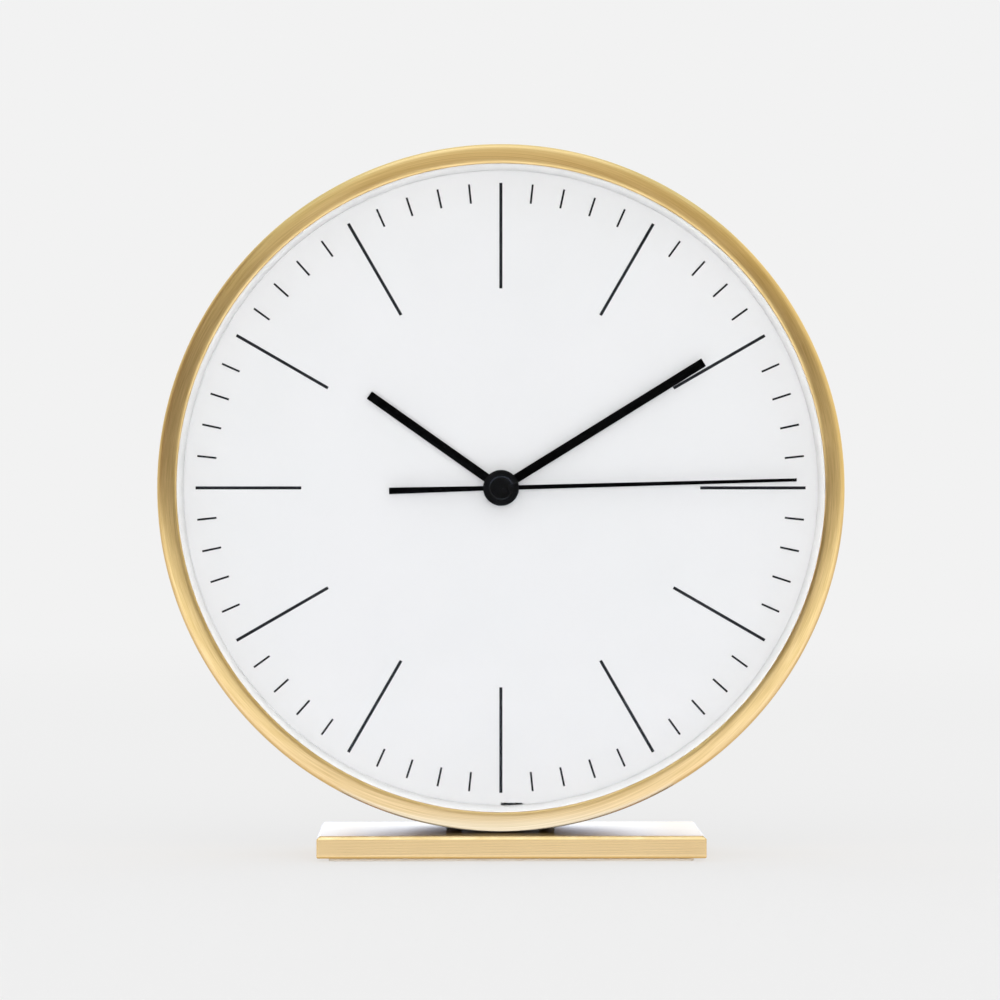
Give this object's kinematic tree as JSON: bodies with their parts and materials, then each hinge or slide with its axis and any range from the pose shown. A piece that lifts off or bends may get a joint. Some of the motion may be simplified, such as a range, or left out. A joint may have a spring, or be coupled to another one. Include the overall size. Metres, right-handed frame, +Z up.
{
  "type": "table clock",
  "caption": "Round brass table clock on a flat brass plate, with a white dial, black hands and a battery movement set from behind.",
  "frame": {"origin": "centre of the bounding box at the bottom, on the surface that the rubber pad rests on", "axes": "+Z up, the dial faces -Y, +X to the right of someone who reads the dial"},
  "size_m": [0.175, 0.048, 0.1819],
  "materials": {
    "brass": "satin, brushed round the case",
    "glass": "clear polished",
    "white_plastic": "semi gloss",
    "dial_paint": "matt white lacquer with black marks",
    "black_paint": "satin black lacquer",
    "black_plastic": "fine textured moulding",
    "steel": "bright zinc",
    "nylon": "natural moulded",
    "copper": "enamelled copper wire",
    "rubber": "thin foam rubber with a fine grain",
    "board": "green solder mask",
    "battery_wrap": "printed film, plain"
  },
  "bodies": {
    "clock": {"case_drum": "brass", "front_glass": "glass", "glass_spacer": "white_plastic", "dial_plate": "dial_paint", "snap_ring": "steel", "rear_cover": "black_paint", "cover_screw_1": "steel", "cover_screw_2": "steel", "cover_screw_3": "steel", "cover_screw_4": "steel", "base_plate": "brass", "base_screw_left": "steel", "base_screw_right": "steel", "saddle_block": "steel", "base_pad": "rubber", "dial_post_left": "brass", "dial_post_right": "brass", "movement_screw_left": "steel", "movement_screw_right": "steel", "movement_housing": "black_plastic", "movement_cover": "black_plastic", "gear_plate": "nylon", "circuit_board": "board", "clock_chip": "black_plastic", "quartz_crystal": "steel", "coil_bobbin": "white_plastic", "coil_winding": "copper", "coil_core": "steel", "stator_plate": "steel", "positive_contact": "steel", "negative_contact": "steel", "negative_spring": "steel"},
    "seconds": {"second_wheel": "nylon", "second_hand": "black_paint", "hub_cap": "black_paint"},
    "fifth": {"fifth_wheel": "nylon"},
    "motor_rotor": {"rotor": "black_plastic"},
    "third": {"third_wheel": "nylon"},
    "centre": {"centre_wheel": "nylon"},
    "minutes": {"cannon_pinion": "brass", "minute_hand": "black_paint"},
    "reverse": {"reverse_wheel": "nylon"},
    "hours": {"hour_wheel": "nylon", "hour_hand": "black_paint"},
    "knob": {"set_knob": "black_plastic"},
    "cell": {"battery": "battery_wrap"}
  },
  "joints": [
    {"name": "second_hand_turn", "type": "hinge", "parent": "clock", "child": "seconds", "pos_m": [0, 0, 0.09435], "axis": [0, 1, 0], "continuous": true},
    {"name": "fifth_turn", "type": "hinge", "parent": "clock", "child": "fifth", "pos_m": [-0.00414, 0, 0.10152], "axis": [0, 1, 0], "continuous": true},
    {"name": "rotor_turn", "type": "hinge", "parent": "clock", "child": "motor_rotor", "pos_m": [-0.00553, 0, 0.10938], "axis": [0, 1, 0], "continuous": true},
    {"name": "third_turn", "type": "hinge", "parent": "clock", "child": "third", "pos_m": [0.00945, 0, 0.09435], "axis": [0, 1, 0], "continuous": true},
    {"name": "centre_turn", "type": "hinge", "parent": "clock", "child": "centre", "pos_m": [0, 0, 0.09435], "axis": [0, 1, 0], "continuous": true},
    {"name": "minute_hand_turn", "type": "hinge", "parent": "clock", "child": "minutes", "pos_m": [0, 0, 0.09435], "axis": [0, 1, 0], "continuous": true},
    {"name": "reverse_turn", "type": "hinge", "parent": "clock", "child": "reverse", "pos_m": [-0.01076, 0, 0.09529], "axis": [0, 1, 0], "continuous": true},
    {"name": "hour_hand_turn", "type": "hinge", "parent": "clock", "child": "hours", "pos_m": [0, 0, 0.09435], "axis": [0, 1, 0], "continuous": true},
    {"name": "set_knob_turn", "type": "hinge", "parent": "clock", "child": "knob", "pos_m": [-0.02029, 0, 0.10036], "axis": [0, 1, 0], "continuous": true},
    {"name": "battery_slide", "type": "slide", "parent": "clock", "child": "cell", "axis": [0, 1, 0], "range_m": [0, 0.02]}
  ],
  "couplings": [
    {"joint": "fifth_turn", "follows": "second_hand_turn", "ratio": -5},
    {"joint": "rotor_turn", "follows": "second_hand_turn", "ratio": 30},
    {"joint": "third_turn", "follows": "second_hand_turn", "ratio": -0.13333},
    {"joint": "centre_turn", "follows": "second_hand_turn", "ratio": 0.016667},
    {"joint": "reverse_turn", "follows": "minute_hand_turn", "ratio": -0.33333},
    {"joint": "hour_hand_turn", "follows": "minute_hand_turn", "ratio": 0.083333},
    {"joint": "set_knob_turn", "follows": "minute_hand_turn", "ratio": 1}
  ]
}
